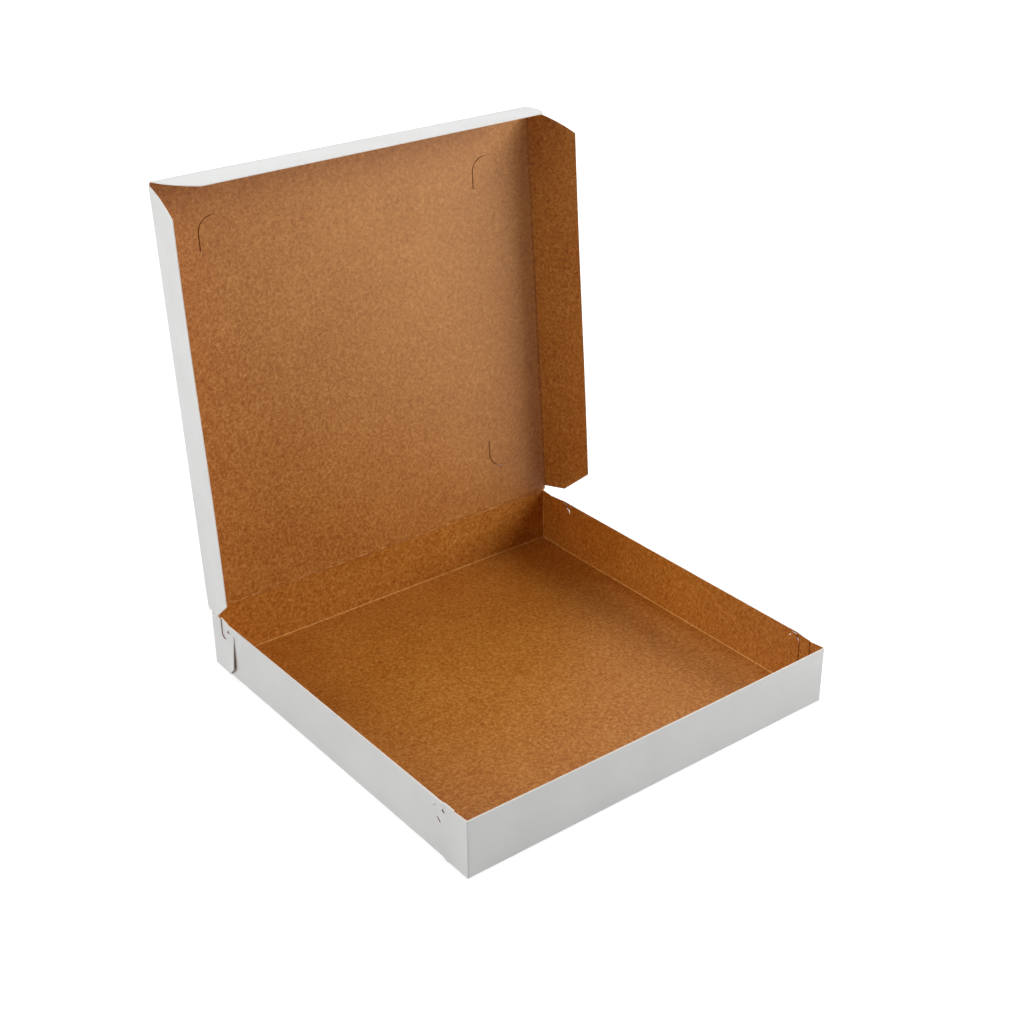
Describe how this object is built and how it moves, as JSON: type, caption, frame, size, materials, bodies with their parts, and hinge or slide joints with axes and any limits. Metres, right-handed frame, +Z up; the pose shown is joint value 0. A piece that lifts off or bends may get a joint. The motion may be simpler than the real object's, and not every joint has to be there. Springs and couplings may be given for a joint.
{
  "type": "pizza box",
  "caption": "Folded paperboard pizza box: a square lock-corner tray with a hinged lid and fold-down lid flaps, white outside and brown inside.",
  "frame": {"origin": "centre of the tray's underside, on the surface the box stands on", "axes": "+X to the right along the front wall, +Y to the back wall with the lid hinge, +Z up"},
  "size_m": [0.3266, 0.3274, 0.3536],
  "materials": {
    "coated_board": "white clay-coated outside, brown kraft inside, matt"
  },
  "bodies": {
    "tray": {"tray": "coated_board"},
    "lid": {"lid_panel": "coated_board"},
    "left_flap": {"left_flap": "coated_board"},
    "right_flap": {"right_flap": "coated_board"},
    "front_flap": {"front_flap": "coated_board"}
  },
  "joints": [
    {"name": "lid_hinge", "type": "hinge", "parent": "tray", "child": "lid", "pos_m": [0, 0.1517, 0.0434], "axis": [1, 0, 0], "range_deg": [-80, 94.4]},
    {"name": "left_flap_fold", "type": "hinge", "parent": "lid", "child": "left_flap", "pos_m": [-0.1531, 0.1517, 0.0434], "axis": [0, 0.0767, 0.9971], "range_deg": [-82.2, 4.8]},
    {"name": "right_flap_fold", "type": "hinge", "parent": "lid", "child": "right_flap", "pos_m": [0.1531, 0.1517, 0.0434], "axis": [0, -0.0767, -0.9971], "range_deg": [-68.8, 18.2]},
    {"name": "front_flap_fold", "type": "hinge", "parent": "lid", "child": "front_flap", "pos_m": [0, 0.17515, 0.3481], "axis": [1, 0, 0], "range_deg": [-86.9, 2.6]}
  ]
}
